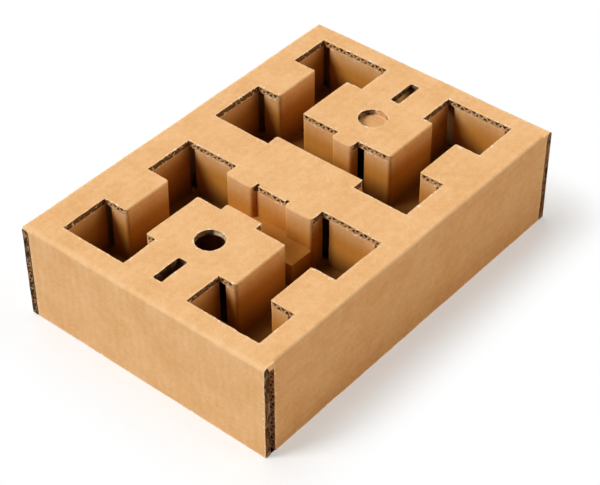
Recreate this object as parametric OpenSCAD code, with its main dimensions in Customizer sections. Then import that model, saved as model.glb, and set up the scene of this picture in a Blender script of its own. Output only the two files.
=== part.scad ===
// Corrugated insert tray, one die-cut and folded sheet of single-wall fluted board.
// Millimetres, +Z up. Y is the long side. The tray stands on the lower edges of its four walls,
// and its origin is on the floor under the middle of the top panel.

/* [Tray] */
// Length over the two end walls
tray_l = 300; // [280:1:360]
// Width over the two side walls
tray_w = 206; // [190:1:260]
// Height from the wall edges to the top face
tray_h = 76; // [62:1:110]
// Open relief beside the end wall at the near corner of the lapped side wall
corner_relief = 4.5; // [1:0.5:8]
// Gap between neighbouring walls at the other three upright corners
wall_gap = 1; // [0.5:0.25:3]

/* [Board] */
// Thickness of the board
board_t = 4.5; // [3.5:0.1:6]
// Outer radius of the folds at the top of the four walls
fold_r = 3; // [1.5:0.25:4]
// Outer radius of the folds at the tabs, the islands and the bridge
tab_fold_r = 1.75; // [1:0.25:3]
// Outer radius of the upright folds at the corners of tabs and islands
upright_r = 2.5; // [1:0.25:4]

/* [Flutes] */
// Pitch of the flutes, which run along the tray in the top panel
flute_pitch = 6.5; // [6:0.25:9]
// Thickness of each flat liner
liner_t = 0.6; // [0.3:0.05:0.8]
// Thickness of the wavy medium between the liners
medium_t = 0.9; // [0.5:0.05:1.2]
// Depth to which the flutes stand open at the edges of the walls
flute_depth = 6; // [2:0.5:8]
// Depth to which the flutes stand open at the edges of the openings
mouth_depth = 3; // [1:0.5:5]
// Depth that the die has left to the lower row of flutes at those edges
crushed_depth = 1; // [0.5:0.25:3]
// Wave length of the medium at an edge cut along the flutes
skim_pitch = 30; // [20:1:40]
// Depth of the open groove at an edge cut along the flutes
skim_depth = 2.5; // [1:0.5:4]

/* [Openings] */
// Width of the rim along each long side
rim_side = 20; // [14:0.5:28]
// Width of the rim along each end
rim_end = 15.5; // [11:0.5:24]
// Width of the bridge between the two openings
bridge_w = 32; // [24:1:48]
// Depth of the pockets below the top face
pocket_depth = 44; // [36:1:52]
// Depth of the ledge in front of the near bridge tab below the top face
shelf_depth = 26; // [18:1:30]
// Gap in the plan between that ledge and an island's lip
shelf_gap = 2; // [1:0.5:6]
// Shift of each opening across the tray, opposite ways at the two ends
opening_shift = 2.5; // [0:0.5:4]
// Open gap beside each pocket wall in an inner corner
slit_w = 5.5; // [2:0.5:8]

/* [Tabs] */
// Width of each side tab along the tray
side_tab_w = 40; // [30:0.5:50]
// Reach of each side tab from its rim
side_tab_reach = 20; // [12:0.5:24]
// Length of the pocket between a side tab and the end rim
end_pocket_l = 35.5; // [26:0.5:42]
// Shift of the side tabs along the tray, opposite ways on the two sides
tab_stagger = 2.5; // [0:0.5:5]
// Width of the tab on each side of the bridge
bridge_tab_w = 74; // [62:1:78]
// Reach of the tab on each side of the bridge
bridge_tab_reach = 11; // [7:0.5:14]
// Width of the notch in the middle of the near bridge tab
notch_w = 28; // [20:1:36]
// Depth of that notch
notch_depth = 4; // [2:0.5:6]
// Width of the nick at each end of that notch
nick_w = 2.25; // [1.5:0.25:5]
// Length of that nick
nick_l = 2.25; // [1:0.25:4]

/* [Islands] */
// Width of each island between its two side channels
island_w = 77; // [70:1:84]
// Length of the wide part of each island
island_l = 48.5; // [40:0.5:54]
// Width of the neck that joins an island to the end rim
neck_w = 54; // [40:1:64]
// Length of that neck
neck_l = 29.5; // [26:0.5:36]
// Width of the lip on the free end of the near island
near_lip_w = 30; // [16:1:34]
// Width of the lip on the free end of the far island
far_lip_w = 17; // [12:1:34]
// Reach of each lip
lip_reach = 7.5; // [4:0.5:12]
// Diameter of the finger hole in each island
hole_d = 20.5; // [16:0.5:26]
// Distance of the finger hole's centre from the inner edge of the end rim
hole_inset = 51; // [46:0.5:60]
// Width of the slot in each neck
slot_w = 7.5; // [5:0.5:12]
// Length of that slot
slot_l = 24; // [16:0.5:26]
// Radius of the slot's corners
slot_r = 1.5; // [0.5:0.25:2.5]
// Distance of the slot's middle from the inner edge of the end rim
slot_inset = 14.5; // [13.5:0.5:18]
// Cover of the ply folded under the far island, past its finger hole
ply_lap = 8; // [4:0.5:9]

/* [Hidden] */
$fn = 32;
kraft = [0.85, 0.66, 0.45];
// Overlap of cutters past the faces that they open
over = 0.5;
top_z = tray_h;
under_z = tray_h - board_t;
// Half sizes in the plan. u is measured from the long centre line, v from the cross centre line.
pocket_u = tray_w / 2 - rim_side;
pocket_v0 = bridge_w / 2;
pocket_v1 = tray_l / 2 - rim_end;
tab_u = pocket_u - side_tab_reach;
tab_v1 = pocket_v1 - end_pocket_l;
tab_v0 = tab_v1 - side_tab_w;
bridge_u = bridge_tab_w / 2;
bridge_v = pocket_v0 + bridge_tab_reach;
notch_u = notch_w / 2;
notch_v = bridge_v - notch_depth;
island_u = island_w / 2;
island_v1 = pocket_v1 - neck_l;
island_v0 = island_v1 - island_l;
neck_u = neck_w / 2;
lip_v = island_v0 - lip_reach;
shelf_v = lip_v - shelf_gap;
hole_v = pocket_v1 - hole_inset;
slot_v = pocket_v1 - slot_inset;
floor_z = top_z - pocket_depth;
shelf_z = top_z - shelf_depth;

// A plan rectangle is [u0, v0, u1, v1]
function grow(r, d) = [r[0] - d, r[1] - d, r[2] + d, r[3] + d];

// Way in which a quadrant's tab and opening are moved: 1 outwards, -1 inwards
function way(sx, sy) = -sx * sy;

// Pockets and channel on one side of an opening that is moved the way q
function side_rects(q) = let (s = q * tab_stagger, t = q * opening_shift) [
    [neck_u, island_v1, pocket_u + t, pocket_v1],
    [island_u + t, tab_v1 + s, pocket_u + t, pocket_v1],
    [island_u + t, bridge_v, tab_u + t, pocket_v1],
    [island_u + t, bridge_v, pocket_u + t, tab_v0 + s],
    [bridge_u, pocket_v0, pocket_u + t, min(island_v0, tab_v0 + s)]
];

// Half width of the lip at the near end (sy is -1) or the far end
function lip_u(sy) = (sy < 0 ? near_lip_w : far_lip_w) / 2;

// Shift across the tray of the island at one end
function slip(sy) = way(1, sy) * opening_shift;

// Level of the cross channel in front of a bridge tab: a ledge at the near end, or else the pocket floor
function base_z(sy) = sy < 0 ? shelf_z : floor_z;

// Cross channel in front of a bridge tab, with the notch that the near tab has
function ledge_rects(sy) = concat(
    [[slip(sy) - island_u, bridge_v, slip(sy) + island_u, shelf_v]],
    sy < 0 ? [[-notch_u, notch_v, notch_u, shelf_v]] : []
);

// The rest of the cross channel, up to the free end of an island
function front_rects(sy) = [
    [slip(sy) - island_u, shelf_v, slip(sy) + island_u, lip_v],
    [lip_u(sy), shelf_v, slip(sy) + island_u, island_v0],
    [slip(sy) - island_u, shelf_v, -lip_u(sy), island_v0]
];

module rect(r) {
    translate([r[0], r[1]]) square([r[2] - r[0], r[3] - r[1]]);
}

// Plan cut that rounds a corner at p, whose board lies towards d
module round_cut(p, d, r) {
    difference() {
        translate([p[0] - (d[0] > 0 ? over : r), p[1] - (d[1] > 0 ? over : r)])
            square(r + over);
        translate([p[0] + d[0] * r, p[1] + d[1] * r]) circle(r);
    }
}

module in_quadrant(sx, sy) {
    mirror([sx < 0 ? 1 : 0, 0, 0]) mirror([0, sy < 0 ? 1 : 0, 0]) children();
}

// Plan of the pockets and channel on one side, with its upright folds rounded
module side_plan(q) {
    s = q * tab_stagger;
    t = q * opening_shift;
    for (r = side_rects(q)) rect(r);
    round_cut([tab_u + t, tab_v0 + s], [1, 1], upright_r);
    round_cut([tab_u + t, tab_v1 + s], [1, -1], upright_r);
    round_cut([island_u + t, island_v1], [-1, -1], upright_r);
    round_cut([island_u + t, island_v0], [-1, 1], upright_r);
    round_cut([bridge_u, bridge_v], [-1, -1], upright_r);
}

module ledge_plan(sy) {
    for (r = ledge_rects(sy)) rect(r);
    if (sy < 0) for (d = [-1, 1]) round_cut([d * notch_u, bridge_v], [d, -1], upright_r);
}

module front_plan(sy) {
    for (r = front_rects(sy)) rect(r);
    for (d = [-1, 1]) round_cut([d * lip_u(sy), lip_v], [-d, 1], upright_r);
}

// Plan of the gap at an inner corner p, where a wall across the tray stops short of its neighbour
module slit_plan(p, d) {
    reach = board_t + over;
    translate([p[0] - (d[0] > 0 ? slit_w : reach), p[1] - (d[1] > 0 ? 0 : reach)])
        square([reach + slit_w, reach]);
}

module side_slits(q) {
    s = q * tab_stagger;
    t = q * opening_shift;
    slit_plan([pocket_u + t, pocket_v1], [1, 1]);
    slit_plan([neck_u, pocket_v1], [-1, 1]);
    slit_plan([neck_u, island_v1], [-1, -1]);
    slit_plan([pocket_u + t, tab_v1 + s], [1, -1]);
    slit_plan([pocket_u + t, tab_v0 + s], [1, 1]);
    slit_plan([pocket_u + t, pocket_v0], [1, -1]);
    slit_plan([bridge_u, pocket_v0], [-1, -1]);
}

// Walls and floor that line the pockets on one side of an opening
module side_lining(q) {
    translate([0, 0, floor_z - board_t / 2])
        linear_extrude(under_z - floor_z + board_t)
        difference() {
            for (r = side_rects(q)) rect(grow(r, board_t));
            side_plan(q);
            side_slits(q);
        }
    translate([0, 0, floor_z - board_t])
        linear_extrude(board_t)
        for (r = side_rects(q)) rect(grow(r, board_t));
}

// Walls and floor of the cross channel, with the ledge that folds forward from the near bridge tab
module cross_lining(sy) {
    span = [slip(sy) - island_u, 0, slip(sy) + island_u, pocket_v1];
    translate([0, 0, base_z(sy) - board_t / 2])
        linear_extrude(under_z - base_z(sy) + board_t)
        difference() {
            intersection() {
                for (r = ledge_rects(sy)) rect(grow(r, board_t));
                rect(span);
            }
            ledge_plan(sy);
            front_plan(sy);
        }
    translate([0, 0, base_z(sy) - board_t])
        linear_extrude(board_t)
        rect([-bridge_u, notch_v - board_t, bridge_u, shelf_v]);
    translate([0, 0, floor_z - board_t / 2])
        linear_extrude(under_z - floor_z + board_t)
        difference() {
            intersection() {
                for (r = front_rects(sy)) rect(grow(r, board_t));
                rect(span);
            }
            ledge_plan(sy);
            front_plan(sy);
            slit_plan([lip_u(sy), island_v0], [-1, 1]);
        }
    translate([0, 0, floor_z - board_t])
        linear_extrude(board_t)
        for (r = front_rects(sy)) rect(grow(r, board_t));
    if (sy < 0) translate([slip(sy) - island_u, shelf_v - board_t, floor_z - board_t])
        cube([island_w, board_t, shelf_z - floor_z + board_t]);
}

// Section of a wall folded down from the top panel, with its outer face at 0
module wall_section(top_w) {
    difference() {
        union() {
            square([top_w, tray_h - fold_r]);
            translate([fold_r, 0]) square([top_w - fold_r, tray_h]);
            translate([fold_r, tray_h - fold_r]) circle(fold_r);
        }
        translate([board_t, -over]) square([top_w, under_z + over]);
    }
}

// A wall that runs along +X from the origin, with its outer face towards -Y
module wall(len, top_w) {
    rotate([90, 0, 90]) linear_extrude(len) wall_section(top_w);
}

// Top panel with its four walls. One side wall runs the whole length, and the ends lap over the other.
module shell() {
    lap = board_t + wall_gap;
    near_lap = board_t + corner_relief;
    root = max(lap, near_lap) + over;
    for (sy = [-1, 1]) mirror([0, sy > 0 ? 1 : 0, 0])
        translate([-tray_w / 2 + lap, -tray_l / 2, 0]) wall(tray_w - lap, root);
    translate([-tray_w / 2, tray_l / 2, 0]) rotate([0, 0, -90]) wall(tray_l, root);
    translate([tray_w / 2, -tray_l / 2 + near_lap, 0]) rotate([0, 0, 90])
        wall(tray_l - lap - near_lap, root);
    translate([-tray_w / 2 + lap, -tray_l / 2 + lap, under_z])
        cube([tray_w - 2 * lap, tray_l - 2 * lap, board_t]);
}

// Cut along +X that rounds a fold at the origin, whose board lies towards +Y and -Z
module fold_cut(len) {
    rotate([90, 0, 90]) linear_extrude(len) round_cut([0, 0], [1, -1], tab_fold_r);
}

// Rounded folds where walls turn down from the tabs, islands and bridge
module folds(q, sy) {
    root = sy < 0 ? notch_u : -over;
    s = q * tab_stagger;
    t = q * opening_shift;
    translate([tab_u + t, tab_v1 + s, top_z]) rotate([0, 0, -90]) fold_cut(side_tab_w);
    translate([island_u + t, island_v0, top_z]) rotate([0, 0, 90]) fold_cut(island_l);
    translate([bridge_u, bridge_v, top_z]) rotate([0, 0, 180]) fold_cut(bridge_u - root);
    translate([-over, lip_v, top_z]) fold_cut(lip_u(sy) + over);
}

// Finger hole and slot of one island
module island_cuts(sy) {
    translate([0, sy * hole_v, under_z]) cylinder(d = hole_d, h = board_t + over);
    translate([0, sy * slot_v, under_z - over]) linear_extrude(board_t + 2 * over) {
        for (dx = [-1, 1], dy = [-1, 1])
            translate([dx * (slot_w / 2 - slot_r), dy * (slot_l / 2 - slot_r)]) circle(slot_r);
        square([slot_w - 2 * slot_r, slot_l], center = true);
        square([slot_w, slot_l - 2 * slot_r], center = true);
    }
}

// Small nicks through the top panel at the two ends of the near bridge tab's notch
module nicks() {
    for (d = [-1, 1]) translate([d * (notch_u - nick_w / 2) - nick_w / 2, notch_v - nick_l, under_z])
        cube([nick_w, nick_l + over, board_t + over]);
}

// Ply folded back under the far island, which backs its finger hole
module folded_ply() {
    reach = hole_d / 2 + ply_lap;
    translate([-opening_shift - island_u + board_t / 2, hole_v - reach, under_z - board_t])
        cube([island_w - board_t, 2 * reach, board_t]);
}

// Open flutes of a cut edge that runs along +X from the origin. The board's middle is at Z 0 and its
// inside lies towards +Y. The voids lie in turn above the wavy medium, and below it to a depth of their own.
module mouths(len, pitch, depth, low_depth) {
    tip = 0.08 * pitch;
    base = pitch / 2 - tip - medium_t;
    inner = board_t / 2 - liner_t;
    far = medium_t - inner;
    n = floor((len - 2 * base) / (pitch / 2)) + 1;
    start = (len - (n - 1) * pitch / 2) / 2;
    for (row = [0, 1]) let (d = 1 - 2 * row, deep = row == 0 ? depth : low_depth)
        if (n > row) translate([0, deep, 0]) rotate([90, 0, 0]) linear_extrude(deep + over)
            for (k = [row : 2 : n - 1]) translate([start + k * pitch / 2, 0])
                polygon([[-base, d * inner], [base, d * inner], [tip, d * far], [-tip, d * far]]);
}

// Flute mouths of the top panel from u0 to u1 at v, with the board towards d along v
module panel_mouths(u0, u1, v, d) {
    translate([u0, v, top_z - board_t / 2]) mirror([0, d < 0 ? 1 : 0, 0])
        mouths(u1 - u0, flute_pitch, mouth_depth, crushed_depth);
}

// Edges of one quadrant of an opening that are cut across the flutes
module opening_mouths(q, sy) {
    s = q * tab_stagger;
    t = q * opening_shift;
    panel_mouths(neck_u, pocket_u + t, pocket_v1, 1);
    panel_mouths(bridge_u, pocket_u + t, pocket_v0, -1);
    panel_mouths(tab_u + t + tab_fold_r, pocket_u + t, tab_v0 + s, 1);
    panel_mouths(tab_u + t + tab_fold_r, pocket_u + t, tab_v1 + s, -1);
    panel_mouths(neck_u, island_u + t - tab_fold_r, island_v1, -1);
    panel_mouths(lip_u(sy), island_u + t - tab_fold_r, island_v0, 1);
    if (sy < 0) panel_mouths(0, notch_u - nick_w, notch_v, -1);
}

// Cut edges of the four walls
module wall_mouths() {
    high = under_z - fold_r;
    for (sy = [-1, 1]) mirror([0, sy > 0 ? 1 : 0, 0]) {
        translate([(board_t - tray_w) / 2, -tray_l / 2, over]) rotate([0, -90, 0])
            mouths(high, flute_pitch, flute_depth, flute_depth);
        translate([tray_w / 2, (board_t - tray_l) / 2, over]) rotate([0, 0, 90]) rotate([0, -90, 0])
            mouths(high, skim_pitch, skim_depth, skim_depth);
        translate([-tray_w / 2 + board_t + wall_gap, (board_t - tray_l) / 2, 0]) rotate([90, 0, 0])
            mouths(tray_w - board_t - wall_gap, flute_pitch, flute_depth, flute_depth);
    }
    translate([(tray_w - board_t) / 2, -tray_l / 2 + board_t + corner_relief, over]) rotate([0, -90, 0])
        mouths(high, flute_pitch, flute_depth, flute_depth);
    translate([(board_t - tray_w) / 2, -tray_l / 2, 0]) rotate([0, 0, 90]) rotate([90, 0, 0])
        mouths(tray_l, skim_pitch, skim_depth, skim_depth);
    translate([(tray_w - board_t) / 2, -tray_l / 2 + board_t + corner_relief, 0])
        rotate([0, 0, 90]) rotate([90, 0, 0])
        mouths(tray_l - 2 * board_t - corner_relief - wall_gap, skim_pitch, skim_depth, skim_depth);
}

module insert_tray() {
    color(kraft) difference() {
        union() {
            shell();
            for (sy = [-1, 1]) {
                for (sx = [-1, 1]) in_quadrant(sx, sy) side_lining(way(sx, sy));
                in_quadrant(1, sy) cross_lining(sy);
            }
            folded_ply();
        }
        for (sy = [-1, 1]) {
            translate([0, 0, base_z(sy)]) linear_extrude(top_z - base_z(sy) + over)
                in_quadrant(1, sy) ledge_plan(sy);
            translate([0, 0, floor_z]) linear_extrude(pocket_depth + over) {
                for (sx = [-1, 1]) in_quadrant(sx, sy) side_plan(way(sx, sy));
                in_quadrant(1, sy) front_plan(sy);
            }
            for (sx = [-1, 1]) in_quadrant(sx, sy) {
                folds(way(sx, sy), sy);
                opening_mouths(way(sx, sy), sy);
            }
            island_cuts(sy);
        }
        in_quadrant(1, -1) nicks();
        wall_mouths();
    }
}

insert_tray();
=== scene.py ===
"""Corrugated insert tray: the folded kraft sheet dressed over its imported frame, with a plain studio."""
import logging
import math
from collections.abc import Iterable
from dataclasses import dataclass, field
from enum import Enum
from typing import Self

import bmesh
import bpy
from mathutils import Matrix, Vector, noise
from mathutils.bvhtree import BVHTree
from mathutils.kdtree import KDTree


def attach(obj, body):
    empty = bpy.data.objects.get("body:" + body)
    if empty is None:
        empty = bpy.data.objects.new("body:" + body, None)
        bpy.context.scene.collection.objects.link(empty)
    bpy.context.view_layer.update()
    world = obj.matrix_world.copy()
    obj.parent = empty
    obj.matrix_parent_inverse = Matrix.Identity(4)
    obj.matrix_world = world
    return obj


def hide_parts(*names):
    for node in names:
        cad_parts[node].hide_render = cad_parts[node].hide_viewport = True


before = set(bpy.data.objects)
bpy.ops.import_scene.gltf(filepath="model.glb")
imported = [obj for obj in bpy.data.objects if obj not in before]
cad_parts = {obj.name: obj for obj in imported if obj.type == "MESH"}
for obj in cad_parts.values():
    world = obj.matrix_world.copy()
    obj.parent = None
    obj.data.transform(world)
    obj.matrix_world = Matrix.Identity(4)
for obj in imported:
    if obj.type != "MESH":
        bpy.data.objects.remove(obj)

LOG = logging.getLogger("insert_tray")
MM = 0.001
NOISE_MEAN = 0.5
WHITE = (1.0, 1.0, 1.0)
UP = Vector((0.0, 0.0, 1.0))
Colour = tuple[float, float, float]
Span = tuple[float, float]
Line = tuple[Vector, Vector]


def linear(red: int, green: int, blue: int) -> Colour:
    """Turns a screen colour into the linear values that a shader takes.

    Args:
        red: Red from 0 to 255.
        green: Green from 0 to 255.
        blue: Blue from 0 to 255.

    Returns:
        The linear colour.
    """
    def channel(level: int) -> float:
        """Gives one linear channel."""
        part = level / 255
        return part / 12.92 if part <= 0.04045 else ((part + 0.055) / 1.055) ** 2.4

    return channel(red), channel(green), channel(blue)


class BoardFace(Enum):
    """What a face of the sheet shows."""

    LINER = 0    # the outer side of the board
    INSIDE = 1   # the walls and floors in the pockets, painted in shade that darkens with depth
    CUT = 2      # a raw edge
    FLUTE = 3    # the mouth of a flute in a raw edge, where painted shade darkens the open flutes
    OPEN = 4     # the end of a wall or the edge of a slot, with all flutes open, painted dark as the shade in the gaps
    PUNCHED = 5  # the edge of a finger hole, painted dark as shade where it faces sideways
    HIDDEN = 6   # the hollow under the panel, painted in shade


class Attr(Enum):
    """Marks that the sheet's mesh carries for its finish, its painted shade and its painted highlight."""

    INSIDE = "painted_pocket_shade"
    RAW = "raw_edge"
    FLUTE = "open_flute"
    OPEN = "open_end_shade"
    FOLD = "fold_wear_and_highlight"
    RIM = "rim_wear"


@dataclass(frozen=True)
class Wire:
    """One output socket that takes part in shader maths."""

    sheet: "NodeSheet"
    socket: bpy.types.NodeSocket | None

    def _math(self, operation: str, first: "Operand", second: "Operand") -> Self:
        """Adds one Math node.

        Args:
            operation: The Math node's operation.
            first: The left operand.
            second: The right operand.

        Returns:
            The node's output.
        """
        return self.sheet.node("ShaderNodeMath", {"operation": operation}, {"Value": first, "Value_001": second})

    def __add__(self, other: "Operand") -> Self:
        """Gives self + other."""
        return self._math("ADD", self, other)

    def __radd__(self, other: "Operand") -> Self:
        """Gives other + self."""
        return self._math("ADD", other, self)

    def __sub__(self, other: "Operand") -> Self:
        """Gives self - other."""
        return self._math("SUBTRACT", self, other)

    def __rsub__(self, other: "Operand") -> Self:
        """Gives other - self."""
        return self._math("SUBTRACT", other, self)

    def __mul__(self, other: "Operand") -> Self:
        """Gives self * other."""
        return self._math("MULTIPLY", self, other)

    def __rmul__(self, other: "Operand") -> Self:
        """Gives other * self."""
        return self._math("MULTIPLY", other, self)

    def __gt__(self, other: "Operand") -> Self:
        """Gives 1 where self is more than other."""
        return self._math("GREATER_THAN", self, other)

    def at_least(self, other: "Operand") -> Self:
        """Gives the larger of self and other."""
        return self._math("MAXIMUM", self, other)

    def sine(self) -> Self:
        """Gives the sine of self."""
        return self._math("SINE", self, 0.0)


Operand = Wire | float
SocketValue = Wire | float | tuple[float, ...]


@dataclass(frozen=True)
class Grain:
    """One layer of noise in the board."""

    scale: float              # cells per millimetre
    detail: float             # octaves
    rough: float              # share of the finer octaves
    span: Span = (0.0, 1.0)   # the levels between which its patches come up


class NodeSheet:
    """The node tree of one material or world, written as Python expressions."""

    def __init__(self, tree: bpy.types.NodeTree) -> None:
        """Empties the tree.

        Args:
            tree: The node tree to write.
        """
        self.tree = tree
        tree.nodes.clear()

    @staticmethod
    def _find(sockets: Iterable[bpy.types.NodeSocket], key: str) -> bpy.types.NodeSocket:
        """Finds a socket by its identifier, or else by its name.

        Args:
            sockets: The node's inputs or outputs.
            key: The identifier or name.

        Returns:
            The socket.
        """
        listed = list(sockets)
        return next((s for s in listed if s.identifier == key), None) or next(s for s in listed if s.name == key)

    def node(self, kind: str, settings: dict[str, object] | None = None,
             sockets: dict[str, SocketValue] | None = None, output: str | None = None) -> Wire:
        """Adds one node.

        Args:
            kind: The node's type.
            settings: Properties to set first.
            sockets: Values or links of its input sockets.
            output: The output to give back, or the first one.

        Returns:
            That output.
        """
        made = self.tree.nodes.new(kind)
        for name, value in (settings or {}).items():
            setattr(made, name, value)
        for key, value in (sockets or {}).items():
            target = self._find(made.inputs, key)
            if isinstance(value, Wire):
                self.tree.links.new(value.socket, target)
            elif isinstance(value, tuple) and target.type == "RGBA":
                target.default_value = (*value[:3], 1.0)
            else:
                target.default_value = value
        if not made.outputs:
            return Wire(self, None)
        return Wire(self, self._find(made.outputs, output) if output else made.outputs[0])

    def mix(self, share: Operand, low: SocketValue, high: SocketValue) -> Wire:
        """Mixes two colours.

        Args:
            share: How much of high shows.
            low: The colour at 0.
            high: The colour at 1.

        Returns:
            The mixed colour.
        """
        return self.node("ShaderNodeMix", {"data_type": "RGBA"},
                         {"Factor_Float": share, "A_Color": low, "B_Color": high}, "Result_Color")

    def blend(self, share: Operand, low: Operand, high: Operand) -> Wire:
        """Mixes two values."""
        return self.node("ShaderNodeMix", {"data_type": "FLOAT"},
                         {"Factor_Float": share, "A_Float": low, "B_Float": high}, "Result_Float")

    def ramp(self, value: Wire, low: float, high: float) -> Wire:
        """Gives a smooth step from 0 at low to 1 at high."""
        return self.node("ShaderNodeMapRange", {"interpolation_type": "SMOOTHSTEP"},
                         {"Value": value, "From Min": low, "From Max": high, "To Min": 0.0, "To Max": 1.0})

    def weigh(self, values: Iterable[Wire], shares: Iterable[float]) -> Wire:
        """Adds up values by their shares.

        Args:
            values: The values.
            shares: The share of each value.

        Returns:
            The sum.
        """
        first, *others = (value * share for value, share in zip(values, shares))
        return sum(others, first)

    def vector(self, operation: str, first: SocketValue, second: SocketValue = (0.0, 0.0, 0.0)) -> Wire:
        """Adds a Vector Math node."""
        return self.node("ShaderNodeVectorMath", {"operation": operation}, {"Vector": first, "Vector_001": second})

    def coords(self, name: str) -> Wire:
        """Reads one of the object's own coordinates."""
        return self.node("ShaderNodeTexCoord", None, None, name)

    def axes(self, vector: Wire, names: str) -> list[Wire]:
        """Gives the named axes of a vector."""
        return [self.node("ShaderNodeSeparateXYZ", None, {"Vector": vector}, name) for name in names]

    def join(self, x: Operand, y: Operand, z: Operand) -> Wire:
        """Joins three values into a vector."""
        return self.node("ShaderNodeCombineXYZ", None, {"X": x, "Y": y, "Z": z})

    def noise(self, place: Wire, grain: Grain) -> Wire:
        """Adds a noise texture.

        Args:
            place: Where it is read, in millimetres.
            grain: Its layer.

        Returns:
            The noise from 0 to 1.
        """
        return self.node("ShaderNodeTexNoise", {"noise_dimensions": "3D"},
                         {"Vector": place, "Scale": grain.scale, "Detail": grain.detail, "Roughness": grain.rough})

    def patches(self, place: Wire, grain: Grain) -> Wire:
        """Gives 1 on the patches of a noise layer and 0 between them."""
        return self.ramp(self.noise(place, grain), *grain.span)

    def seen(self) -> Wire:
        """Tells what is looked at from what only lights the object.

        Returns:
            1 for the camera's, a mirror's and a glass's rays, and 0 for the others.
        """
        camera, glossy, glass = (self.node("ShaderNodeLightPath", None, None, ray)
                                 for ray in ("Is Camera Ray", "Is Glossy Ray", "Is Transmission Ray"))
        return camera.at_least(glossy).at_least(glass)

    def mark(self, attr: Attr) -> Wire:
        """Reads one of the mesh's marks."""
        return self.node("ShaderNodeAttribute", {"attribute_type": "GEOMETRY", "attribute_name": attr.value},
                         None, "Fac")


@dataclass(frozen=True)
class BoardPoint:
    """Where a point of the board lies, and how the paper varies there."""

    place: Wire         # in millimetres
    fibre_place: Wire   # the same, drawn out along the fibres
    depth: Wire         # below the tray's top
    sideways: Wire      # share of the normal that points across the tray
    mottle: Wire
    cloud: Wire
    fibre: Wire
    tooth: Wire
    wave: Wire          # the flutes that show through the liner


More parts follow.
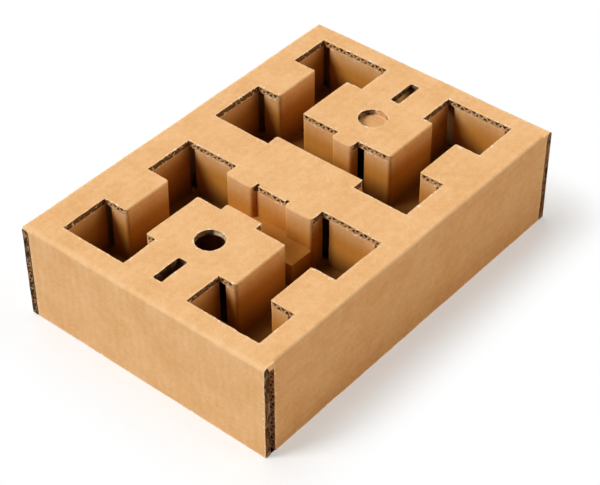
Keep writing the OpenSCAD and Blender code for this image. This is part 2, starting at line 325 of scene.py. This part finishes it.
@dataclass(frozen=True)
class KraftBoard:
    """Finish of the sheet: kraft liners, raw cut edges, open flutes and worn folds, with painted shade in the
    pockets, flutes, open ends and finger holes, and a painted highlight along the folds.
    """

    pale: Colour = linear(241, 193, 139)
    deep: Colour = linear(227, 172, 112)
    # painted shade: these browner, darker pocket colours stand in for the shade that falls inside the pockets
    inside: Colour = linear(196, 132, 54)
    pocket_shade_deep: Colour = linear(132, 86, 32)
    # painted highlight: this pale colour along the folds is partly wear and partly a highlight painted along the
    # bends; the rims use it as wear
    fold: Colour = linear(248, 210, 162)
    raw: Colour = linear(204, 160, 110)
    # edges cut along the flutes are browner, and these sideways raw edges also carry painted shade
    raw_side_and_shade: Colour = linear(116, 79, 43)
    raw_pale: Colour = linear(236, 206, 164)
    # painted shade: the open flutes' hollows are coloured dark; crushed patches are their real paler paper
    flute: Colour = linear(124, 84, 48)
    crushed: Colour = linear(218, 178, 130)
    # painted shade: the dark of open ends, slot edges and the finger holes' sideways edges, with paler blocks
    gap: Colour = linear(66, 43, 25)
    gap_shade_pale: Colour = linear(158, 124, 88)
    fleck: Colour = linear(168, 112, 60)
    torn: Colour = linear(252, 236, 210)

    mottling: Grain = Grain(0.045, 4.0, 0.6)
    clouds: Grain = Grain(0.16, 3.0, 0.55)
    fibres: Grain = Grain(1.1, 4.0, 0.65)
    teeth: Grain = Grain(2.2, 2.0, 0.6)
    flecks: Grain = Grain(0.75, 2.0, 0.5, (0.66, 0.74))
    spots: Grain = Grain(0.42, 1.0, 0.5, (0.75, 0.8))
    shreds: Grain = Grain(0.9, 3.0, 0.7, (0.54, 0.7))
    tears: Grain = Grain(0.4, 2.0, 0.6, (0.79, 0.85))
    dents: Grain = Grain(0.17, 2.0, 0.6, (0.4, 0.56))
    blocks: Grain = Grain(0.14, 2.0, 0.6, (0.46, 0.62))

    top: float = 76.0                                              # the tray's height in millimetres
    shade_reach: float = 21.0                                     # depth at which the painted pocket shade is full
    deep_shade_reach: float = 46.0                                       # depth at which the painted shade is darkest
    flute_pitch: float = 6.5
    flute_drift: float = 1.5                                       # how far clouds bend the flutes that show
    facing: float = 0.7                                            # share of a normal that turns the fibres
    fibre_stretch: float = 0.22
    fibre_slant: float = 0.31
    tone_shares: tuple[float, ...] = (0.45, 0.3, 0.25)             # mottle, cloud, fibre
    tone_span: Span = (0.3, 0.7)
    shade_shares: tuple[float, ...] = (0.22, 0.16, 0.012)          # fibre, tooth, wave
    height_shares: tuple[float, ...] = (0.5, 0.35, 0.5, 0.12)      # fibre, tooth, cloud, wave
    rough_shares: tuple[float, ...] = (0.16, 0.06)                 # fibre, worn folds
    fleck_share: float = 0.2
    spot_share: float = 0.4
    fold_break: float = 0.5                                        # how far clouds break up the worn folds and their painted highlight
    fold_span: Span = (0.25, 1.1)
    fold_share: float = 0.5
    rim_break: float = 0.8                                         # how far fibres break up the worn rims
    rim_span: Span = (0.45, 1.0)
    rim_share: float = 0.35
    side_span: Span = (0.3, 0.9)                                   # turn at which a raw edge goes brown, partly cut along the flutes and partly painted shade
    side_loss: float = 0.4                                         # shreds that it loses there
    tear_gain: float = 0.24                                        # how much more the rims are torn
    tear_share: float = 0.85
    hole_span: Span = (0.35, 0.75)                                 # turn at which painted shade darkens a finger hole's edge
    roughness: float = 0.72
    specular: float = 0.12
    bump_strength: float = 0.28
    bump_depth: float = 0.00012

    def read(self, s: NodeSheet) -> BoardPoint:
        """Reads where a point lies and how the paper varies there.

        Args:
            s: The material's nodes.

        Returns:
            The point.
        """
        place = s.node("ShaderNodeVectorMath", {"operation": "SCALE"},
                       {"Vector": s.coords("Object"), "Scale": 1.0 / MM})
        x, y, z = s.axes(place, "XYZ")
        nx, ny = s.axes(s.vector("ABSOLUTE", s.coords("Normal")), "XY")
        across = s.blend(nx > self.facing, x, z)
        along = s.blend(ny > self.facing, y, z)
        fibre_place = s.join(across * self.fibre_stretch, along, (x + y + z) * self.fibre_slant)
        cloud = s.noise(place, self.clouds)
        wave = (across * (2 * math.pi / self.flute_pitch) + cloud * self.flute_drift).sine()
        return BoardPoint(place, fibre_place, self.top - z, nx, s.noise(place, self.mottling), cloud,
                          s.noise(fibre_place, self.fibres), s.noise(place, self.teeth), wave)

    def liner(self, s: NodeSheet, at: BoardPoint) -> Wire:
        """Colours the liners, with painted shade that makes the pockets browner and darker the deeper they lie.

        Args:
            s: The material's nodes.
            at: The point of the board.

        Returns:
            The colour.
        """
        tone = s.ramp(s.weigh((at.mottle, at.cloud, at.fibre), self.tone_shares), *self.tone_span)
        # painted shade: the pockets go browner and darker with depth
        inside = s.mix(s.ramp(at.depth, self.shade_reach, self.deep_shade_reach), self.inside, self.pocket_shade_deep)
        sunk_shade = s.mark(Attr.INSIDE) * s.ramp(at.depth, 0.0, self.shade_reach)
        colour = s.mix(sunk_shade, s.mix(tone, self.deep, self.pale), inside)
        colour = s.mix(s.patches(at.fibre_place, self.flecks) * self.fleck_share, colour, self.fleck)
        colour = s.mix(s.patches(at.place, self.spots) * self.spot_share, colour, self.fleck)
        shade = 1.0 + s.weigh((at.fibre - NOISE_MEAN, at.tooth - NOISE_MEAN, at.wave), self.shade_shares)
        return s.vector("MULTIPLY", colour, s.join(shade, shade, shade))

    def edges(self, s: NodeSheet, at: BoardPoint, colour: Wire) -> Wire:
        """Colours the cut edges: raw board and torn specks, with painted shade in the flutes, on the sideways raw
        edges, in the open ends and on the sideways parts of the finger holes.

        Args:
            s: The material's nodes.
            at: The point of the board.
            colour: The colour of the liners.

        Returns:
            The colour of liners and edges.
        """
        # sideways raw edges: browner where cut along the flutes, and darker with painted shade
        side = s.ramp(at.sideways, *self.side_span)
        shreds = s.patches(at.place, self.shreds) * (1.0 - side * self.side_loss)
        raw = s.mix(shreds, s.mix(side, self.raw, self.raw_side_and_shade), self.raw_pale)
        colour = s.mix(s.mark(Attr.RAW), colour, raw)
        torn = s.ramp(s.noise(at.place, self.tears) + s.mark(Attr.RIM) * self.tear_gain, *self.tears.span)
        colour = s.mix(torn * self.tear_share, colour, self.torn)
        # painted shade in the flute mouths, broken by crushed patches
        flute = s.mix(s.patches(at.place, self.dents), self.flute, self.crushed)
        colour = s.mix(s.mark(Attr.FLUTE), colour, flute)
        # painted shade: open ends, slot edges and the sideways parts of the finger holes go dark
        hole_side_unshaded = s.mark(Attr.RAW) * (1.0 - s.ramp(at.sideways, *self.hole_span))
        painted_gap_shade = s.mix(s.patches(at.place, self.blocks), self.gap, self.gap_shade_pale)
        return s.mix(s.mark(Attr.OPEN) * (1.0 - hole_side_unshaded), colour, painted_gap_shade)

    def make(self, name: str) -> bpy.types.Material:
        """Builds the material.

        Args:
            name: The material's name.

        Returns:
            The material.
        """
        material = bpy.data.materials.new(name)
        material.use_nodes = True
        s = NodeSheet(material.node_tree)
        at = self.read(s)
        # worn folds, partly real wear and partly painted highlight
        worn_highlit_fold = s.ramp(s.mark(Attr.FOLD) + (at.cloud - NOISE_MEAN) * self.fold_break, *self.fold_span)
        rim = s.ramp(s.mark(Attr.RIM) + (at.fibre - NOISE_MEAN) * self.rim_break, *self.rim_span)
        colour = s.mix(worn_highlit_fold * self.fold_share, self.liner(s, at), self.fold)
        colour = s.mix(rim * self.rim_share, colour, self.fold)
        colour = self.edges(s, at, colour)
        rough = self.roughness + s.weigh((at.fibre - NOISE_MEAN, worn_highlit_fold), self.rough_shares)
        height = s.weigh((at.fibre, at.tooth, at.cloud, at.wave), self.height_shares)
        bump = s.node("ShaderNodeBump", None,
                      {"Strength": self.bump_strength, "Distance": self.bump_depth, "Height": height})
        shader = s.node("ShaderNodeBsdfPrincipled", None, {
            "Base Color": colour, "Roughness": rough, "Normal": bump, "Specular IOR Level": self.specular})
        s.node("ShaderNodeOutputMaterial", None, {"Surface": shader})
        return material


@dataclass(frozen=True)
class WhiteSweep:
    """Finish of the studio floor: white to the camera, with the tray's shadow, and painted shade under the tray.
    """

    white: Colour = (0.975, 0.99, 1.0)
    bounce: Colour = (0.62, 0.62, 0.62)
    # painted shade: the floor under the tray is near black, so slits and holes look dark
    under_shade: Colour = (0.035, 0.016, 0.005)
    lift: float = 0.42                    # share of white glow beside the tray, where the tray's shadow still shows
    fade: Span = (0.004, 0.055)           # metres from the tray over which the glow grows to all white, a painted fade of the shadow
    foot: Span = (0.205, 0.299)           # the tray's footprint in metres

    def make(self, name: str) -> bpy.types.Material:
        """Builds the material.

        Args:
            name: The material's name.

        Returns:
            The material.
        """
        material = bpy.data.materials.new(name)
        material.use_nodes = True
        s = NodeSheet(material.node_tree)
        x, y = ((way - size / 2).at_least(0.0)
                for way, size in zip(s.axes(s.vector("ABSOLUTE", s.coords("Object")), "XY"), self.foot))
        gap = s.node("ShaderNodeVectorMath", {"operation": "LENGTH"}, {"Vector": s.join(x, y, 0.0)}, "Value")
        clear = gap > 0.0
        seen = s.seen() * clear
        lift = s.blend(s.ramp(gap, *self.fade), self.lift, 1.0)
        # painted shade under the tray's footprint
        colour = s.mix(clear, self.under_shade, s.mix(seen, self.bounce, self.white))
        paper = s.node("ShaderNodeBsdfPrincipled", None,
                       {"Base Color": colour, "Roughness": 1.0, "Specular IOR Level": 0.0})
        glow = s.node("ShaderNodeEmission", None, {"Color": WHITE, "Strength": 1.0})
        # painted light: the floor glows white for the camera, less beside the tray, which paints where its shadow
        # fades
        both = s.node("ShaderNodeMixShader", None, {"Fac": seen * lift, "Shader": paper, "Shader_001": glow})
        s.node("ShaderNodeOutputMaterial", None, {"Surface": both})
        return material


@dataclass
class FoldedSheet:
    """The tray's one die-cut and folded sheet, with its sizes in millimetres as in the part.

    A size ending in u runs across the tray from its middle, one in v along it, and one in z up from the floor.
    """

    length: float = 300.0
    width: float = 206.0
    height: float = 76.0
    board: float = 4.5
    fold_r: float = 3.0
    tab_fold_r: float = 1.75
    pocket_u: float = 83.0
    tab_u: float = 63.0
    island_u: float = 38.5
    bridge_u: float = 37.0
    neck_u: float = 27.0
    notch_u: float = 14.0
    near_lip_u: float = 15.0
    far_lip_u: float = 8.5
    pocket_v0: float = 16.0
    notch_v: float = 23.0
    bridge_v: float = 27.0
    lip_v: float = 49.0
    island_v0: float = 56.5
    tab_v0: float = 59.0
    hole_v: float = 83.5
    hole_r: float = 10.25
    tab_v1: float = 99.0
    island_v1: float = 105.0
    slot_v: float = 120.0
    slot_u: float = 3.75
    slot_l: float = 12.0
    pocket_v1: float = 134.5
    stagger: float = 2.5
    shift: float = 2.5
    floor_z: float = 32.0
    shelf_z: float = 50.0

    cell: float = 6.0                     # widest cell of the mesh
    wall_rows: tuple[float, ...] = (1.5, 4.0, 12.0, 22.0, 36.0, 44.0, 54.0, 62.0)
    bend_rows: tuple[float, ...] = (0.15, 0.5, 1.0)   # shares of the end walls' folds
    weld: float = 0.004                   # corners of the solid closer than this are one
    cell_weld: float = 0.02               # and so are the cells' corners
    snap: float = 0.01                    # corners this close to a parting plane lie on it
    flat_angle: float = 0.6               # degrees between faces that are one panel
    smooth_angle: float = 50.0            # degrees between faces that are shaded as one
    flat_weight: int = 80                 # how far large faces rule the shading

    touch: float = 0.12                   # a value this close to a mark lies on it
    slack: float = 0.1                    # room left round the folds, holes and slots
    wall_slack: float = 0.05
    panel_slack: float = 0.02
    end_slack: float = 0.6
    flat: float = 0.98                    # share of a normal that points along an axis
    corner: float = 0.4                   # radians at which two faces meet in a corner

    wear_reach: float = 4.0
    fold_reach: float = 6.4
    tab_wear_and_highlight: float = 0.6                 # wear and painted highlight of the tabs' folds beside the walls' folds
    rim_step: float = 1.0
    hidden_shade: float = 0.65                  # share of the painted pocket shade in the hollow under the panel
    seed: int = 5                         # sets the sway, so that each run gives the same sheet
    sway: float = 0.4
    sway_scale: float = 0.02
    ripple: float = 0.12
    ripple_scale: float = 0.11
    rag: float = 0.35
    rag_scale: float = 0.31
    rag_from: float = 0.6                 # rim wear from which an edge is ragged
    finish: KraftBoard = field(default_factory=KraftBoard)

    @property
    def under_z(self) -> float:
        """Height of the top panel's lower face."""
        return self.height - self.board

    def lip_u(self, end: float) -> float:
        """Half width of the lip at the near end (below 0) or the far end."""
        return self.near_lip_u if end < 0 else self.far_lip_u

    def notch(self, end: float) -> float:
        """Half width of the notch in the bridge tab at one end."""
        return self.notch_u if end < 0 else 0.0

    def near(self, value: float, *marks: float) -> bool:
        """Tells whether a value lies on one of the marks."""
        return any(abs(value - mark) < self.touch for mark in marks)

    def bends(self, gap: float) -> bool:
        """Tells whether a gap behind the fold line of a tab lies in its bend."""
        return -self.slack < gap < self.tab_fold_r

    def is_fold(self, centre: Vector) -> bool:
        """Tells whether a place in the top panel's thickness lies on a fold.

        Args:
            centre: The place in millimetres.

        Returns:
            True on the folds of the walls, tabs, islands, bridge and lips.
        """
        x, y, slack = abs(centre.x), abs(centre.y), self.slack
        slip = -math.copysign(self.shift, centre.x * centre.y)
        wall = self.width / 2 - x < self.fold_r or self.length / 2 - y < self.fold_r
        tab = self.bends(x - self.tab_u - slip) and y > self.bridge_v
        island = self.bends(self.island_u + slip - x) and self.island_v0 - slack < y < self.island_v1 + slack
        bridge = self.bends(self.bridge_v - y) and self.notch(centre.y) - slack < x < self.bridge_u + slack
        lip = self.bends(y - self.lip_v) and x < self.lip_u(centre.y) + slack
        return wall or tab or island or bridge or lip

    def in_hole(self, centre: Vector) -> bool:
        """Tells whether a place lies on the edge of a finger hole."""
        return math.hypot(centre.x, abs(centre.y) - self.hole_v) < self.hole_r + self.slack

    def in_slot(self, centre: Vector) -> bool:
        """Tells whether a place lies on the edge of a slot."""
        return (abs(centre.x) < self.slot_u + self.slack
                and abs(abs(centre.y) - self.slot_v) < self.slot_l + self.slack)

    def face_kind(self, centre: Vector, normal: Vector, inner_corners: int) -> BoardFace:
        """Tells the liners, raw edges, flutes, open ends and finger holes apart.

        Args:
            centre: The face's middle in millimetres.
            normal: Its outward direction.
            inner_corners: How many of its edges lie in an inner corner.

        Returns:
            The kind of face.
        """
        x, y, z = abs(centre.x), abs(centre.y), centre.z
        half_w, half_l = self.width / 2, self.length / 2
        to_side, to_end, level = (abs(share) > self.flat for share in normal)
        cut = BoardFace.FLUTE if inner_corners > 1 else BoardFace.CUT
        if level:
            if self.near(z, self.height):
                return BoardFace.LINER
            panels = (self.under_z, self.floor_z, self.shelf_z)
            levels = (*panels, *(panel - self.board for panel in panels))
            return BoardFace.INSIDE if self.near(z, *levels) else cut
        side = to_side and self.near(x, half_w)
        front = to_end and self.near(y, half_l)
        wall_end = (front and half_w + centre.x < self.board + self.end_slack
                    or side and half_l - y < self.board + self.slack and centre.x > 0)
        in_panel = z > self.under_z + self.panel_slack
        if wall_end or in_panel and self.in_slot(centre):
            return BoardFace.OPEN
        if in_panel and self.in_hole(centre):
            return BoardFace.PUNCHED
        if in_panel:
            return BoardFace.LINER if self.is_fold(centre) else cut
        if min(half_w - x, half_l - y) < self.board + self.wall_slack:
            inner = (to_side and self.near(x, half_w - self.board)
                     or to_end and self.near(y, half_l - self.board))
            return BoardFace.LINER if side or front else BoardFace.INSIDE if inner else cut
        return BoardFace.INSIDE

    def wall_folds(self) -> list[Line]:
        """Lists the outer lines of the four walls' folds.

        Returns:
            The lines' two ends in millimetres.
        """
        top, half_w, half_l = self.height, self.width / 2, self.length / 2
        lines = [(Vector((sx * half_w, -half_l, top)), Vector((sx * half_w, half_l, top))) for sx in (-1, 1)]
        return lines + [(Vector((-half_w, sy * half_l, top)), Vector((half_w, sy * half_l, top)))
                        for sy in (-1, 1)]

    def tab_folds(self) -> list[Line]:
        """Lists the outer lines of the folds inside the openings.

        Returns:
            The lines' two ends in millimetres.
        """
        top, lines = self.height, []
        for sy in (-1, 1):
            lip = self.lip_u(sy)
            lines.append((Vector((-lip, sy * self.lip_v, top)), Vector((lip, sy * self.lip_v, top))))
            for sx in (-1, 1):
                stagger, slip = -sx * sy * self.stagger, -sx * sy * self.shift
                tab, island = sx * (self.tab_u + slip), sx * (self.island_u + slip)
                lines += [(Vector((tab, sy * (self.tab_v0 + stagger), top)),
                           Vector((tab, sy * (self.tab_v1 + stagger), top))),
                          (Vector((island, sy * self.island_v0, top)),
                           Vector((island, sy * self.island_v1, top))),
                          (Vector((sx * self.notch(sy), sy * self.bridge_v, top)),
                           Vector((sx * self.bridge_u, sy * self.bridge_v, top)))]
        return lines

    def cut_places(self) -> dict[str, list[float]]:
        """Lists where the mesh is parted, so that its wear and painted fold highlight follow the folds and edges.

        Returns:
            The places along each axis, in millimetres.
        """
        places: dict[str, set[float]] = {"x": set(), "y": set(), "z": set()}
        fixed = {
            "x": (self.far_lip_u, self.near_lip_u, self.neck_u, self.bridge_u, self.width / 2),
            "y": (self.pocket_v0, self.notch_v, self.bridge_v, self.lip_v, self.island_v0, self.island_v1,
                  self.pocket_v1, self.length / 2),
        }
        slipped = {"x": (self.island_u, self.tab_u, self.pocket_u), "y": (self.tab_v0, self.tab_v1)}
        slips = {"x": self.shift, "y": self.stagger}
        for axis in ("x", "y"):
            marks = [*fixed[axis], *(v + way * slips[axis] for v in slipped[axis] for way in (-1, 1))]
            for mark in marks:
                for place in (mark - self.wear_reach, mark + self.wear_reach):
                    places[axis] |= {round(place, 3), round(-place, 3)}
        for axis, size in (("x", self.width), ("y", self.length)):
            count = math.ceil(size / self.cell)
            places[axis] |= {round(-size / 2 + size * k / count, 3) for k in range(1, count)}
        places["y"] |= {end * (self.length / 2 - self.fold_r * share)
                        for end in (-1, 1) for share in self.bend_rows}
        places["z"] = {*self.wall_rows, self.height - self.fold_r - self.wear_reach}
        return {axis: sorted(values) for axis, values in places.items()}

    def part(self, bm: bmesh.types.BMesh, axis: str, place: float) -> None:
        """Parts the mesh's faces along a plane.

        Args:
            bm: The sheet in millimetres.
            axis: The axis that the plane lies across.
            place: Where it lies on that axis.
        """
        normal = [float(name == axis) for name in "xyz"]
        bmesh.ops.bisect_plane(bm, geom=bm.verts[:] + bm.edges[:] + bm.faces[:], dist=self.snap,
                               plane_co=[place * n for n in normal], plane_no=normal)

    def build(self) -> bpy.types.Object:
        """Makes the sheet from a copy of its solid.

        Returns:
            The dressed sheet.
        """
        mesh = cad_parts["insert_tray"].data.copy()
        mesh.name = "folded_sheet"
        mesh.materials.clear()
        bm = bmesh.new()
        bm.from_mesh(mesh)
        bmesh.ops.scale(bm, vec=(1 / MM,) * 3, verts=bm.verts)
        self.part_faces(bm)
        self.mark_faces(bm)
        self.mark_wear(bm)
        self.warp(bm)
        bmesh.ops.scale(bm, vec=(MM,) * 3, verts=bm.verts)
        bm.to_mesh(mesh)
        bm.free()
        sheet = bpy.data.objects.new("folded_sheet", mesh)
        bpy.context.scene.collection.objects.link(sheet)
        self.dress(sheet)
        return sheet

    def dress(self, sheet: bpy.types.Object) -> None:
        """Gives the sheet its finish and shading, and its place in the frame.

        Args:
            sheet: The sheet.
        """
        sheet.data.materials.append(self.finish.make("kraft_board"))
        shading = sheet.modifiers.new("flat_panels", "WEIGHTED_NORMAL")
        shading.keep_sharp, shading.weight = True, self.flat_weight
        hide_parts("insert_tray")
        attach(sheet, "root")

    def part_faces(self, bm: bmesh.types.BMesh) -> None:
        """Makes whole panels of the solid's triangles, sorts them, and parts them into cells.

        Args:
            bm: The sheet in millimetres.
        """
        bmesh.ops.remove_doubles(bm, verts=bm.verts, dist=self.weld)
        bmesh.ops.dissolve_limit(bm, angle_limit=math.radians(self.flat_angle), verts=bm.verts, edges=bm.edges)
        bmesh.ops.triangulate(bm, faces=[f for f in bm.faces if len(f.verts) > 4])
        self.part(bm, "z", self.under_z)
        self.sort_faces(bm)
        for axis, places in self.cut_places().items():
            for place in places:
                self.part(bm, axis, place)
        bmesh.ops.remove_doubles(bm, verts=bm.verts, dist=self.cell_weld)

    def sort_faces(self, bm: bmesh.types.BMesh) -> None:
        """Notes on each face what it shows, while the faces are whole.

        Args:
            bm: The sheet in millimetres.
        """
        kind = bm.faces.layers.int.new("board_face")
        bm.normal_update()
        solid = BVHTree.FromBMesh(bm)
        for face in bm.faces:
            inner = sum(not edge.is_convex and edge.calc_face_angle(0.0) > self.corner for edge in face.edges)
            centre = face.calc_center_median()
            shown = self.face_kind(centre, face.normal, inner)
            if shown is BoardFace.INSIDE and solid.ray_cast(centre + face.normal, UP)[0]:
                shown = BoardFace.HIDDEN
            face[kind] = shown.value

    def mark_faces(self, bm: bmesh.types.BMesh) -> None:
        """Writes the masks of the painted pocket shade, the raw edges, the flutes and the painted shade of the
        open ends onto the mesh.

        Args:
            bm: The sheet in millimetres.
        """
        kind = bm.faces.layers.int["board_face"]
        # INSIDE, FLUTE and OPEN carry painted shade: in the pockets and under the panel, in the flutes, and in
        # open ends and finger holes
        masks = {Attr.INSIDE: {BoardFace.INSIDE: 1.0, BoardFace.HIDDEN: self.hidden_shade},
                 Attr.RAW: {BoardFace.CUT: 1.0, BoardFace.PUNCHED: 1.0},
                 Attr.FLUTE: {BoardFace.FLUTE: 1.0},
                 Attr.OPEN: {BoardFace.OPEN: 1.0, BoardFace.PUNCHED: 1.0}}
        layers = {attr: bm.loops.layers.float.new(attr.value) for attr in masks}
        for face in bm.faces:
            face.smooth = True
            for attr, layer in layers.items():
                share = masks[attr].get(BoardFace(face[kind]), 0.0)
                for loop in face.loops:
                    loop[layer] = share

    def mark_wear(self, bm: bmesh.types.BMesh) -> None:
        """Writes the worn folds with their painted highlight and the worn rims onto the mesh, and keeps its
        corners sharp.

        Args:
            bm: The sheet in millimetres.
        """
        fold = bm.verts.layers.float.new(Attr.FOLD.value)
        rim = bm.verts.layers.float.new(Attr.RIM.value)
        bm.normal_update()
        for edge in bm.edges:
            edge.smooth = (len(edge.link_faces) == 2
                           and edge.calc_face_angle(0.0) < math.radians(self.smooth_angle))
        points = self.rim_points(bm)
        tree = KDTree(len(points))
        for index, point in enumerate(points):
            tree.insert(point, index)
        tree.balance()
        walls, tabs = self.wall_folds(), self.tab_folds()
        for vert in bm.verts:
            vert[rim] = max(0.0, 1 - tree.find(vert.co)[2] / self.wear_reach)
            wall, tab = (1 - min(self.line_gap(vert.co, *line) for line in lines) / self.fold_reach
                         for lines in (walls, tabs))
            vert[fold] = max(0.0, wall, self.tab_wear_and_highlight * tab)

    def rim_points(self, bm: bmesh.types.BMesh) -> list[Vector]:
        """Lists points along the rims, where a liner meets a cut edge.

        Args:
            bm: The sheet in millimetres.

        Returns:
            The points.
        """
        kind = bm.faces.layers.int["board_face"]
        cuts = {BoardFace.CUT.value, BoardFace.OPEN.value, BoardFace.PUNCHED.value}
        points: list[Vector] = []
        for edge in bm.edges:
            sides = {face[kind] for face in edge.link_faces}
            if len(sides) == 2 and len(sides & cuts) == 1 and BoardFace.FLUTE.value not in sides:
                start, end = (vert.co for vert in edge.verts)
                steps = max(1, math.ceil((start - end).length / self.rim_step))
                points += [start.lerp(end, k / steps) for k in range(steps + 1)]
        return points

    def warp(self, bm: bmesh.types.BMesh) -> None:
        """Rounds the end walls' folds, and lets panels sway and edges fray a little inside the sheet's box.

        Args:
            bm: The sheet in millimetres.
        """
        noise.seed_set(self.seed)
        rim = bm.verts.layers.float[Attr.RIM.value]
        low = (-self.width / 2, -self.length / 2, 0.0)
        high = (self.width / 2, self.length / 2, self.height)
        for vert in bm.verts:
            short = self.fold_r - (self.length / 2 - abs(vert.co.y))
            if short > 0 and vert.co.z > self.under_z:
                rise = math.sqrt(max(0.0, self.fold_r ** 2 - short ** 2))
                vert.co.z = min(vert.co.z, self.height - self.fold_r + rise)
            ragged = self.rag * max(0.0, vert[rim] - self.rag_from) / (1 - self.rag_from)
            move = (noise.noise_vector(vert.co * self.sway_scale) * self.sway
                    + noise.noise_vector(vert.co * self.ripple_scale) * self.ripple
                    + noise.noise_vector(vert.co * self.rag_scale) * ragged)
            vert.co = [min(max(p + d, a), b) for p, d, a, b in zip(vert.co, move, low, high)]

    @staticmethod
    def line_gap(point: Vector, start: Vector, end: Vector) -> float:
        """Measures from a point to a line.

        Args:
            point: The point.
            start: One end of the line.
            end: Its other end.

        Returns:
            The distance.
        """
        way = end - start
        share = max(0.0, min(1.0, (point - start).dot(way) / way.length_squared))
        return (point - start - way * share).length


@dataclass(frozen=True)
class Lamp:
    """One soft lamp, by the side it shines from in degrees."""

    name: str
    azimuth: float
    elevation: float
    strength: float
    angle: float
    colour: Colour = WHITE
    distance: float = 2.0

    def hang(self) -> None:
        """Hangs the lamp."""
        data = bpy.data.lights.new(self.name, "SUN")
        data.energy, data.angle, data.color = self.strength, math.radians(self.angle), self.colour
        lamp = bpy.data.objects.new(self.name, data)
        az, el = math.radians(self.azimuth), math.radians(self.elevation)
        towards = Vector((math.cos(az) * math.cos(el), math.sin(az) * math.cos(el), math.sin(el)))
        lamp.rotation_euler = towards.to_track_quat("Z", "Y").to_euler()
        lamp.location = towards * self.distance
        bpy.context.scene.collection.objects.link(lamp)
        LOG.info("%s: %.2f", self.name, self.strength)


@dataclass
class Studio:
    """Plain white floor, soft light and the camera."""

    location: tuple[float, float, float] = (0.60163, -0.70642, 0.82365)
    azimuth: float = 40.2153
    elevation: float = 40.9591
    roll: float = -0.2966
    lens: float = 108.02
    sensor: float = 36.0
    lamps: tuple[Lamp, ...] = (
        Lamp("front_key", 233.0, 39.0, 2.80, 24.0),
        Lamp("top_soft", 180.0, 70.0, 0.62, 30.0),
        Lamp("back_left", 135.0, 15.0, 1.50, 60.0, (0.80, 0.92, 1.0)),
        Lamp("back_right", 40.0, 15.0, 1.68, 60.0, (1.0, 0.80, 0.57)),
    )
    ambient: float = 0.02
    floor_size: float = 8.0
    floor: WhiteSweep = field(default_factory=WhiteSweep)

    def build(self) -> None:
        """Makes the floor, the lamps, the world and the camera."""
        self.lay_floor()
        for lamp in self.lamps:
            lamp.hang()
        self.fill_world()
        self.set_camera()
        bpy.context.scene.view_settings.view_transform = "Standard"

    def lay_floor(self) -> None:
        """Lays the white floor under the tray."""
        bm = bmesh.new()
        bmesh.ops.create_grid(bm, x_segments=1, y_segments=1, size=self.floor_size / 2)
        mesh = bpy.data.meshes.new("studio_floor")
        bm.to_mesh(mesh)
        bm.free()
        mesh.materials.append(self.floor.make("white_sweep"))
        floor = bpy.data.objects.new("studio_floor", mesh)
        bpy.context.scene.collection.objects.link(floor)
        LOG.info("studio_floor: %.1f m", self.floor_size)

    def fill_world(self) -> None:
        """Gives the world a dim fill, and white where the camera sees it."""
        world = bpy.data.worlds.new("studio_world")
        world.use_nodes = True
        bpy.context.scene.world = world
        s = NodeSheet(world.node_tree)
        fill, white = (s.node("ShaderNodeBackground", None, {"Color": WHITE, "Strength": strength})
                       for strength in (self.ambient, 1.0))
        both = s.node("ShaderNodeMixShader", None, {"Fac": s.seen(), "Shader": fill, "Shader_001": white})
        s.node("ShaderNodeOutputWorld", None, {"Surface": both})

    def set_camera(self) -> None:
        """Sets the camera where it sees the tray as the photograph does."""
        data = bpy.data.cameras.new("view_camera")
        data.sensor_fit, data.sensor_width, data.lens = "HORIZONTAL", self.sensor, self.lens
        camera = bpy.data.objects.new("view_camera", data)
        az, el, roll = (math.radians(v) for v in (self.azimuth, self.elevation, self.roll))
        back = Vector((math.sin(az) * math.cos(el), -math.cos(az) * math.cos(el), math.sin(el)))
        right = UP.cross(back).normalized()
        up = back.cross(right)
        turned = Matrix((right * math.cos(roll) + up * math.sin(roll),
                         up * math.cos(roll) - right * math.sin(roll), back))
        camera.matrix_world = Matrix.Translation(self.location) @ turned.transposed().to_4x4()
        bpy.context.scene.collection.objects.link(camera)
        bpy.context.scene.camera = camera


def main() -> None:
    """Builds the sheet and the studio."""
    logging.basicConfig(level=logging.INFO, format="%(name)s %(message)s")
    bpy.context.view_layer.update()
    sheet = FoldedSheet().build()
    LOG.info("%s: %d faces", sheet.name, len(sheet.data.polygons))
    Studio().build()


if __name__ == "__main__":
    main()
